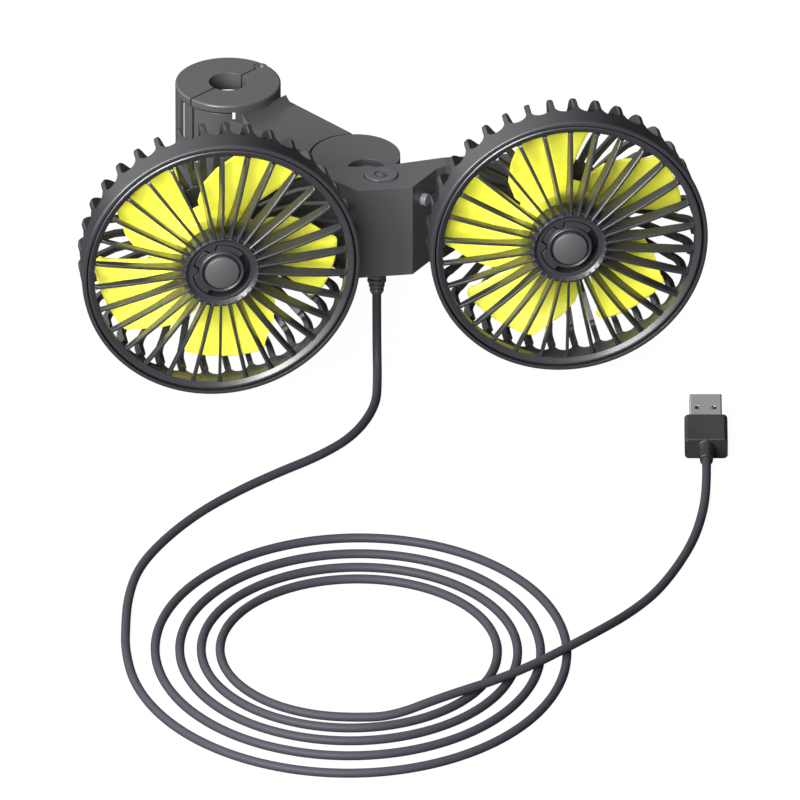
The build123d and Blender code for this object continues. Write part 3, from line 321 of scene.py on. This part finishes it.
rib_rounding = 0.35
corner = rib_outer - bend
rib_edge = [(rib_outer, slot_middle - 1)] + arc((corner, straight_to), bend, 0, 90)
rib_edge += [(36.0, 30.6), (28.0, 32.2), (20.0, 32.6)]
rib_root = [(rib_outer - rib_deep, slot_middle - 1)]
rib_root += arc((corner, straight_to), bend - rib_deep, 0, 90)
rib_root += [(36.0, 27.8), (28.0, 29.6), (20.0, 30.2)]
cage = [turned(band_outline, 720), turned(disc_outline, 90)]
cage.append(bars(rib_edge, rib_root, rib_half, rib_rounding, rib_count, rib_phase))
print("ribs:", rib_count, "slot width at the band:", round(2 * slot_radius, 2), "mm")

# %% [markdown]
# The front grille has a bevelled ring that drops into the band, and vanes that lean by 8 degrees, so
# that the air leaves them straight. They thicken from 0.9 mm at the hub to 1.25 mm at the ring, where
# each slot ends in two small radii. The hub's rim carries a tooth between every two vanes.

# %% Grille
vane_count, vane_phase = 30, math.radians(-5.0)
vane_pitch = 2 * math.pi / vane_count
opening, corner_radius = 47.3, 1.0
lug_angles = [math.radians(-112.0), math.radians(-176.0)]
hub_radius, land_radius, vane_start, vane_rounding = 13.75, 10.9, 13.2, 0.22
vane_lean = math.tan(math.radians(8.0))
into_ring = opening - corner_radius * np.cos(np.linspace(0, 1.35, 6))
reach = np.concatenate((np.linspace(vane_start, 44.0, 9), into_ring))
front = np.interp(reach, (vane_start, 31.0, 40.0, 44.0, 46.5, 47.3), (-1.35, -1.1, -0.35, 0.15, 0.7, 1.1))
back = np.interp(reach, (vane_start, 20.0, 28.0, 47.3), (7.0, 5.0, 3.45, 3.45))
half = np.interp(reach, (vane_start, 46.3), (0.45, 0.62))
into_corner = np.clip(reach - (opening - corner_radius), 0.0, corner_radius)
half = half + corner_radius - np.sqrt(corner_radius**2 - into_corner**2)


def ring_outline(_):
    """The grille's ring: a crest near the band, then a long bevel down to the opening."""
    return [(opening, 1.3), (48.9, 0.45), (49.4, 0.3), (49.9, 0.6), (49.9, 4.4), (opening, 4.4)]


def swell(beside, full, none):
    """A soft step: 1 up to the first distance, 0 from the second one on."""
    share = np.clip((none - beside) / (none - full), 0.0, 1.0)
    return share * share * (3 - 2 * share)


near_axis, hub_floor, hub_back = 0.01, 6.0, 9.0
tooth_height, tooth_half, lug_length, lug_back = 1.1, 0.85, 2.0, 2.2


def hub_outline(angle):
    """The hub's section: a raised rim with its teeth, a flat land, and two lugs that reach inwards."""
    beside = hub_radius * (vane_pitch / 2 - away(angle, [vane_phase], vane_pitch))
    toothed = hub_radius + (tooth_height if beside < tooth_half else 0.0)
    land = land_radius - lug_length * swell(land_radius * away(angle, lug_angles), 0.7, 2.4)
    rim = [(12.3, -0.2), (13.1, -0.95), (13.6, -1.4), (hub_radius, -1.3), (hub_radius, -0.3)]
    side = [(toothed, -0.1), (toothed, lug_back), (hub_radius, lug_back), (hub_radius, hub_back)]
    floor = [(near_axis, hub_back), (near_axis, hub_floor), (land_radius, hub_floor)]
    return rim + side + floor + [(land_radius, lug_back), (land, lug_back), (land, -0.2)]


vane_sweep = bars(
    np.column_stack((reach, front)),
    np.column_stack((reach, back)),
    half,
    vane_rounding,
    vane_count,
    vane_phase,
    lean=vane_lean,
)
grille = [turned(ring_outline, 240), turned(hub_outline, 720), vane_sweep]
print("vanes:", vane_count, "opening radius:", opening, "mm")

# %% [markdown]
# A cap closes the hub. Its flange runs only part of the way round and leaves room for the hub's two
# lugs, and its raised ring holds a shallow dome behind a fine groove.

# %% Cap and dome
flange_from, flange_to = math.radians(39.0), math.radians(239.0)
flange_radius, notch_depth, ring_foot, bare_radius = 10.5, 1.95, 8.45, 8.55
dome_radius, dome_foot, dome_rise = 6.4, -1.9, 1.1


def cap_outline(angle):
    """The cap's section: a flange that comes and goes with the angle, a round ring and the dome's well."""
    seen = (-angle) % (2 * math.pi)
    notch = notch_depth * swell(land_radius * away(angle, lug_angles), 1.2, 3.0)
    outer = flange_radius - notch if flange_from < seen < flange_to else bare_radius
    well = [(near_axis, 0.3), (7.0, 0.3), (7.05, -1.1)]
    crest = arc((7.75, -0.8), 0.7, -150, 0, 8)
    flange = [(ring_foot, -0.2), (outer, -0.2), (outer, 1.4)]
    return well + crest + flange + [(4.0, 1.4), (4.0, hub_floor), (near_axis, hub_floor)]


def dome_outline(_):
    """A shallow dome whose height falls off with the square of the radius, on a straight side."""
    shares = np.linspace(0.001, 0.97, 9)
    top = [(dome_radius * share, dome_foot - dome_rise * (1 - share**2)) for share in shares]
    return top + [(dome_radius, dome_foot + 0.15), (dome_radius, 0.25), (0.001, 0.25)]


cap = [turned(cap_outline, 720)]
dome = [turned(dome_outline, 96)]

# %% [markdown]
# Each impeller has five broad blades, moulded with their hub. A blade is a twisted sheet: from its near
# edge to its far edge the depth grows evenly, the same at every radius. The near edge swings back towards
# the tip, so that wedges stay open between the blades, and the tip's corners are rounded off.

# %% Impeller
blade_tip, blade_front, blade_back, blade_thick = 45.2, 12.5, 21.3, 1.2
blade_root, corner_cut, blade_count = 16, 2.2, 5
near_radii, near_degrees = (blade_root, 24, 28, 31, 36, 40, blade_tip), (50, 48, 44, 40, 31, 22.5, 20)
far_radii, far_degrees = (blade_root, blade_tip), (11, 21)


def blade(turn):
    """One blade as a closed grid: depth grows with the share of the way from the near to the far edge."""
    share = np.linspace(-1.0, 1.0, 25)
    middle = (blade_front + blade_back) / 2 + share * (blade_back - blade_front - blade_thick) / 2
    corner_in = corner_cut * np.clip((np.abs(share) - 0.84) / 0.16, 0, 1) ** 2
    thin = np.where(np.abs(share) > 0.97, 0.5, 1.0)
    front_side = [(16.2, 0.5), (24.0, 0.5), (30.5, 0.5), (36.0, 0.5), (41.0, 0.5), (44.4, 0.45)]
    outline = front_side + [(blade_tip, 0.15)] + [(radius, -side) for radius, side in reversed(front_side)]
    rows = []
    for radius, side in outline:
        near = np.interp(radius, near_radii, near_degrees)
        far = np.interp(radius, far_radii, far_degrees)
        along = turn + np.radians((share - 1) / 2 * near + (share + 1) / 2 * far)
        out = radius - corner_in * (radius > 43)
        depth = middle - side * blade_thick * thin
        rows.append(np.column_stack((out * np.cos(along), out * np.sin(along), depth)))
    grid = np.stack(rows, axis=1)
    index = np.arange(grid.shape[0] * grid.shape[1]).reshape(grid.shape[:2])
    across = np.roll(index, -1, axis=1)
    walls = np.stack((index[:-1], across[:-1], across[1:], index[1:]), axis=2).reshape(-1, 4)
    faces = walls.tolist()
    for end in (index[0].tolist(), index[-1].tolist()):
        half_way = len(end) // 2
        faces += [[end[n], end[n + 1], end[-n - 2], end[-n - 1]] for n in range(half_way - 1)]
        faces.append(end[half_way - 1 : half_way + 2])
    return grid.reshape(-1, 3), faces


def cup_outline(_):
    """The impeller's hub cup and the boss that grips the shaft."""
    outside = arc((15.8, 12.4), 1.2, -90, 0, 5) + [(17.0, 21.9), (15.6, 21.9), (15.6, 12.6)]
    return outside + [(3.2, 12.6), (3.2, 13.7), (1.03, 13.7), (1.03, 11.2)]


# %% [markdown]
# Both heads use the same shapes. Each is turned so that its axis points from front to back, and set at
# its place by the housing. The blades rest at a different angle in each head.

# %% Place the heads
middle_x, half_spacing, lip_y, axis_z = 46.5, 65.15, -114.8, 1.2
heads = {"left": (middle_x - half_spacing, 59.0), "right": (middle_x + half_spacing, 21.0)}
for side, (head_x, blade_turn) in heads.items():
    place = Matrix.Translation(Vector((head_x, lip_y, axis_z)) * MM)
    place = place @ Matrix.Rotation(math.radians(-90), 4, "X") @ Matrix.Scale(MM, 4)
    first = math.radians(-blade_turn)
    blades = [blade(first + number * 2 * math.pi / blade_count) for number in range(blade_count)]
    build(side + "_cage", cage, place, side + "_rear_cage")
    build(side + "_grille", grille, place, side + "_front_grille")
    build(side + "_cap", cap, place, side + "_hub_cap")
    build(side + "_dome", dome, place, side + "_hub_dome")
    build(side + "_blades", [turned(cup_outline, 96)] + blades, place, side + "_impeller")
print("head pieces:", len(dressed))

# %% [markdown]
# Two small pieces show their form up close as well: the gland under the housing, a stack of five soft
# rings with dark gaps between them, and the round head of the screw in the swivel's well.

# %% Gland and screw
ring_radii, ring_pitch, gland_core = (3.6, 3.6, 3.55, 3.0, 2.65), 2.03, 2.2
gland_top, screw_seat = -20.0, 8.5


def gland_outline(_):
    """The gland from its flange inside the housing down over its five rings to the cord."""
    side = [(4.2, -3.0), (4.2, -1.8), (2.7, -1.8), (2.7, 0.3), (gland_core, 0.5)]
    for number, radius in enumerate(ring_radii):
        middle = ring_pitch * (number + 1)
        side += [(gland_core, middle - 0.72), (radius - 0.3, middle - 0.72), (radius, middle - 0.42)]
        side += [(radius, middle + 0.42), (radius - 0.3, middle + 0.72), (gland_core, middle + 0.72)]
    return [(near_axis, -3.0)] + side + [(gland_core, 11.5), (near_axis, 11.5)]


def screw_outline(_):
    """A tall round head with a soft upper edge and a drive recess, on its shank."""
    head = [(near_axis, -2.6), (1.7, -2.6), (1.9, -3.5)] + arc((3.7, -1.9), 1.7, -90, 0, 8)
    return head + [(5.4, 0.0), (1.6, 0.0), (1.6, 1.2), (near_axis, 1.2)]


down = Matrix.Rotation(math.pi, 4, "X") @ Matrix.Scale(MM, 4)
gland_place = Matrix.Translation(Vector((gland_x, gland_y, gland_top)) * MM) @ down
build("gland_rings", [turned(gland_outline, 64)], gland_place, "cord_gland")
screw_low, screw_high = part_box("tension_screw")
screw_middle = (screw_low + screw_high) / 2
screw_place = Matrix.Translation((screw_middle.x, screw_middle.y, screw_seat * MM)) @ down
build("well_screw", [turned(screw_outline, 64)], screw_place, "tension_screw")

# %% [markdown]
# Every finish below is a Principled shader. Colours are written as the sRGB hex values that a designer
# would note down, and one function turns them to the linear values that the renderer computes with. A
# second function adds a node, sets its options and values, and links what comes from another node.

# %% Colour and node helpers
def linear(code, alpha=1.0):
    """Linear RGBA of an sRGB hex colour: a short straight toe, then a power of 2.4."""
    values = [int(code[i : i + 2], 16) / 255 for i in (1, 3, 5)]
    return tuple(v / 12.92 if v <= 0.04045 else ((v + 0.055) / 1.055) ** 2.4 for v in values) + (alpha,)


def add_node(tree, kind, settings=None, inputs=None):
    """Add a node of one kind, set its properties, and set or link its inputs."""
    node = tree.nodes.new(kind)
    for name, value in (settings or {}).items():
        setattr(node, name, value)
    for name, value in (inputs or {}).items():
        if isinstance(value, bpy.types.NodeSocket):
            tree.links.new(value, node.inputs[name])
        else:
            node.inputs[name].default_value = value
    return node


def start_material(name, shader_values):
    """A new material with one Principled shader wired to its output."""
    material = bpy.data.materials.new(name)
    material.use_nodes = True
    tree = material.node_tree
    tree.nodes.clear()
    shader = add_node(tree, "ShaderNodeBsdfPrincipled", inputs=shader_values)
    add_node(tree, "ShaderNodeOutputMaterial", inputs={"Surface": shader.outputs["BSDF"]})
    return material, tree, shader


# %% [markdown]
# Injection-moulded plastic shows the skin of its mould. A spark-eroded mould leaves a fine pebbled grain,
# the sharp edges come out slightly round and catch the light, and the sheen drifts a little where the
# melt flowed. The grain is noise at its real size, the round edge a bevel of a few tenths of a
# millimetre in the shading normal, and the drift a slow noise on the roughness.

# %% Moulded plastics
drift_mm, sheen_drift = 18, 0.05


def moulded(
    name, colour, roughness, grain_mm=0.35, grain_depth_mm=0.012, edge_mm=0.35, painted_and_backdrop_glow=0.0, specular=0.5
):
    """Moulded plastic: a flat colour with mould grain, rounded edges, an uneven sheen and an optional glow,
    which is painted light.
    """
    material, tree, shader = start_material(
        name,
        {
            "Base Color": linear(colour),
            "IOR": 1.52,
            "Specular IOR Level": specular,
            "Emission Color": linear(colour),
            "Emission Strength": painted_and_backdrop_glow,
        },
    )
    place = add_node(tree, "ShaderNodeTexCoord").outputs["Object"]
    grain = add_node(
        tree,
        "ShaderNodeTexNoise",
        inputs={"Vector": place, "Scale": 1 / (grain_mm * MM), "Detail": 3.0, "Roughness": 0.6},
    )
    drift = add_node(
        tree,
        "ShaderNodeTexNoise",
        inputs={"Vector": place, "Scale": 1 / (drift_mm * MM), "Detail": 2.0},
    )
    sheen = add_node(
        tree,
        "ShaderNodeMapRange",
        inputs={
            "Value": drift.outputs["Fac"],
            "From Min": 0.3,
            "From Max": 0.7,
            "To Min": roughness - sheen_drift,
            "To Max": roughness + sheen_drift,
        },
    )
    edge = add_node(tree, "ShaderNodeBevel", {"samples": 4}, {"Radius": edge_mm * MM})
    bump = add_node(
        tree,
        "ShaderNodeBump",
        inputs={
            "Strength": 0.5,
            "Distance": grain_depth_mm * MM,
            "Height": grain.outputs["Fac"],
            "Normal": edge.outputs["Normal"],
        },
    )
    tree.links.new(sheen.outputs["Result"], shader.inputs["Roughness"])
    tree.links.new(bump.outputs["Normal"], shader.inputs["Normal"])
    return material


body_abs = moulded("satin_black_abs", "#414143", 0.32)
# The vane plastic is a darker copy of the body's satin black ABS: the darker base is painted shade, for the
# shade between the vanes.
vane_abs_painted_shade = moulded("satin_black_abs_vanes_painted_shade", "#29292c", 0.3, grain_mm=0.3, edge_mm=0.3)
button_abs = moulded("fine_satin_abs", "#444448", 0.3, edge_mm=0.25)
# The blades carry a small glow, painted light that brightens them where the vanes shade them.
blade_abs = moulded(
    "lime_yellow_abs", "#fbfb52", 0.4, grain_mm=0.5, grain_depth_mm=0.006, edge_mm=0.2, painted_and_backdrop_glow=0.03
)
stud_nylon = moulded("pale_nylon", "#66666c", 0.3, edge_mm=0.3)
switch_abs = moulded("black_switch_plastic", "#1c1c1e", 0.4, edge_mm=0.15)
lens_acrylic = moulded("smoked_light_pipe", "#3c3c42", 0.15, grain_mm=0.2, grain_depth_mm=0.002, edge_mm=0.15)
tongue_plastic = moulded("white_insert_plastic", "#e8e8e2", 0.35, edge_mm=0.1)
print("moulded plastics so far:", len(bpy.data.materials))

# %% [markdown]
# The cord's jacket, the gland and the plug's grip are soft PVC. An extruded jacket is smoother along the
# cord than a moulded part and shines more softly, and the plug is polished darker.

# %% Soft PVC
cord_pvc = moulded(
    "extruded_pvc_jacket", "#322f36", 0.5, grain_mm=0.6, grain_depth_mm=0.01, edge_mm=0.1, specular=0.1
)
gland_pvc = moulded("moulded_pvc_gland", "#38383b", 0.38, edge_mm=0.3)
plug_pvc = moulded("black_pvc_overmould", "#1f1f21", 0.3, grain_mm=0.4, grain_depth_mm=0.008, edge_mm=0.6)

# %% [markdown]
# The metals are small: a nickel-plated plug shell, zinc-plated screws, the drawn steel can of each motor
# and gold-plated contacts. Plating is bright with faint marks, so each metal has a full metallic value
# and a roughness that a stretched noise varies, like the lines that rolling leaves in sheet.

# %% Metals
def plated(name, colour, roughness, line_mm=0.12, line_stretch=30.0, edge_mm=0.15):
    """Plated or drawn metal: noise stretched along Z varies the roughness in fine lines."""
    material, tree, shader = start_material(name, {"Base Color": linear(colour), "Metallic": 1.0})
    place = add_node(tree, "ShaderNodeTexCoord").outputs["Object"]
    lines = 1 / (line_mm * MM)
    stretched = add_node(
        tree,
        "ShaderNodeMapping",
        inputs={"Vector": place, "Scale": (lines, lines, lines / line_stretch)},
    )
    marks = add_node(
        tree,
        "ShaderNodeTexNoise",
        inputs={"Vector": stretched.outputs["Vector"], "Scale": 1.0, "Detail": 2.0},
    )
    uneven = add_node(
        tree,
        "ShaderNodeMapRange",
        inputs={
            "Value": marks.outputs["Fac"],
            "To Min": roughness * 0.7,
            "To Max": roughness * 1.4,
        },
    )
    edge = add_node(tree, "ShaderNodeBevel", {"samples": 4}, {"Radius": edge_mm * MM})
    tree.links.new(uneven.outputs["Result"], shader.inputs["Roughness"])
    tree.links.new(edge.outputs["Normal"], shader.inputs["Normal"])
    return material


shell_nickel = plated("nickel_plated_shell", "#dedee0", 0.16)
zinc = plated("zinc_plated_steel", "#c3c4c7", 0.3)
dark_steel = plated("blackened_steel", "#77777c", 0.32)
can_steel = plated("drawn_steel_can", "#b6b7ba", 0.28)
gold = plated("gold_plated_contact", "#e5c06a", 0.2, edge_mm=0.05)

# %% [markdown]
# The circuit board is glass laminate under green solder mask: a smooth, slightly wet-looking coat whose
# colour dims a little where the weave lies below it.

# %% Circuit board
board_laminate, tree, shader = start_material(
    "green_solder_mask",
    {"Roughness": 0.28, "Coat Weight": 0.4, "Coat Roughness": 0.15},
)
weave = add_node(
    tree,
    "ShaderNodeTexNoise",
    inputs={
        "Vector": add_node(tree, "ShaderNodeTexCoord").outputs["Object"],
        "Scale": 1 / (0.8 * MM),
    },
)
mask = add_node(
    tree,
    "ShaderNodeMix",
    {"data_type": "RGBA"},
    {"Factor": weave.outputs["Fac"], 6: linear("#1d5a33"), 7: linear("#236b3d")},
)
tree.links.new(mask.outputs[2], shader.inputs["Base Color"])

# %% [markdown]
# Each slot of the record names one finish, so one table gives every piece of the frame its material.

# %% Dress the frame
finishes = {
    "body_plastic": body_abs,
    "vane_plastic": vane_abs_painted_shade,
    "blade_plastic": blade_abs,
    "tongue_plastic": body_abs,
    "button_plastic": button_abs,
    "lens_plastic": lens_acrylic,
    "screw_steel": zinc,
    "dark_steel": dark_steel,
    "stud_nylon": stud_nylon,
    "motor_steel": can_steel,
    "board_laminate": board_laminate,
    "switch_plastic": switch_abs,
    "cord_rubber": cord_pvc,
    "gland_rubber": gland_pvc,
    "plug_rubber": plug_pvc,
    "plug_chrome": shell_nickel,
    "tongue_white": tongue_plastic,
    "contact_brass": gold,
}
for name, piece in frame["nodes"].items():
    piece.data.materials.clear()
    piece.data.materials.append(finishes[slot_of[name]])
for piece, slot_name in dressed:
    piece.data.materials.append(finishes[slot_name])
cord.data.materials.append(cord_pvc)
print("finishes in use:", sorted({p.data.materials[0].name for p in frame["nodes"].values()}))

# %% [markdown]
# The studio is a table in a surround that is bright on the left and falls off to the right, so that
# faces which turn right go dark and edges that turn left shine. The camera itself sees both as white: the
# surround by the share of light that only its rays get, and the table by a glow that only they see.

# %% Table and surround
table_half_width, table_gap, table_glow = 6.0, 0.0001, 0.95
flat = np.array([(-1, -1), (1, -1), (1, 1), (-1, 1)]) * table_half_width
corners = np.column_stack((flat, np.full(len(flat), table_z * MM - table_gap)))
table_mesh = bpy.data.meshes.new("table")
table_mesh.from_pydata(corners.tolist(), [], [(0, 1, 2, 3)])
table = bpy.data.objects.new("table", table_mesh)
bpy.context.scene.collection.objects.link(table)

table_paint = bpy.data.materials.new("white_table_paint")
table_paint.use_nodes = True
tree = table_paint.node_tree
tree.nodes.clear()
rays = add_node(tree, "ShaderNodeLightPath")
lift = add_node(
    tree,
    "ShaderNodeMath",
    {"operation": "MULTIPLY"},
    {0: rays.outputs["Is Camera Ray"], 1: table_glow},
)
painted_and_backdrop_glow = add_node(
    tree,
    "ShaderNodeEmission",
    inputs={"Color": (1, 1, 1, 1), "Strength": lift.outputs[0]},
)
paint = add_node(tree, "ShaderNodeBsdfDiffuse", inputs={"Color": linear("#404040")})
both = add_node(tree, "ShaderNodeAddShader", inputs={0: paint.outputs[0], 1: painted_and_backdrop_glow.outputs[0]})
add_node(tree, "ShaderNodeOutputMaterial", inputs={"Surface": both.outputs[0]})
table.data.materials.append(table_paint)

world = bpy.data.worlds.new("surround")
bpy.context.scene.world = world
world.use_nodes = True
tree = world.node_tree
tree.nodes.clear()
bright_side = Vector((-0.78, 0.0, 0.5)).normalized()
dark_level, bright_level = 0.01, 1.9
facing = add_node(
    tree,
    "ShaderNodeVectorMath",
    {"operation": "DOT_PRODUCT"},
    {0: add_node(tree, "ShaderNodeTexCoord").outputs["Generated"], 1: bright_side},
)
falloff = add_node(
    tree,
    "ShaderNodeMapRange",
    {"interpolation_type": "SMOOTHSTEP"},
    {
        "Value": facing.outputs["Value"],
        "From Min": -0.2,
        "From Max": 0.98,
        "To Min": dark_level,
        "To Max": bright_level,
    },
)
rays = add_node(tree, "ShaderNodeLightPath")
level = add_node(
    tree,
    "ShaderNodeMath",
    {"operation": "MAXIMUM"},
    {0: falloff.outputs["Result"], 1: rays.outputs["Is Camera Ray"]},
)
sky = add_node(
    tree,
    "ShaderNodeBackground",
    inputs={"Color": (1, 1, 1, 1), "Strength": level.outputs["Value"]},
)
add_node(tree, "ShaderNodeOutputWorld", inputs={"Surface": sky.outputs[0]})

# %% [markdown]
# Broad square lamps give soft highlights. The strongest stand on the left and nearly in front, so that
# one reaches the housing between the heads, and weak ones open up the right side and the tops.

# %% Lamps
lit_point = Vector((0.04, -0.15, -0.02))


def softbox(name, place, size, watts):
    """A square area lamp that looks at the fan."""
    data = bpy.data.lights.new(name, "AREA")
    data.shape = "SQUARE"
    data.size = size
    data.energy = watts
    lamp = bpy.data.objects.new(name, data)
    bpy.context.scene.collection.objects.link(lamp)
    lamp.location = place
    lamp.rotation_euler = (lit_point - Vector(place)).to_track_quat("-Z", "Y").to_euler()
    return lamp


softbox("key_softbox", (-0.95, -1.0, 0.6), 0.6, 34.0)
softbox("front_softbox", (-0.4, -1.35, 0.6), 0.5, 26.0)
softbox("fill_softbox", (1.1, -0.7, 0.5), 0.5, 0.3)
softbox("top_softbox", (-0.1, -0.2, 1.4), 0.9, 1.5)
bpy.context.scene.view_settings.view_transform = "Standard"
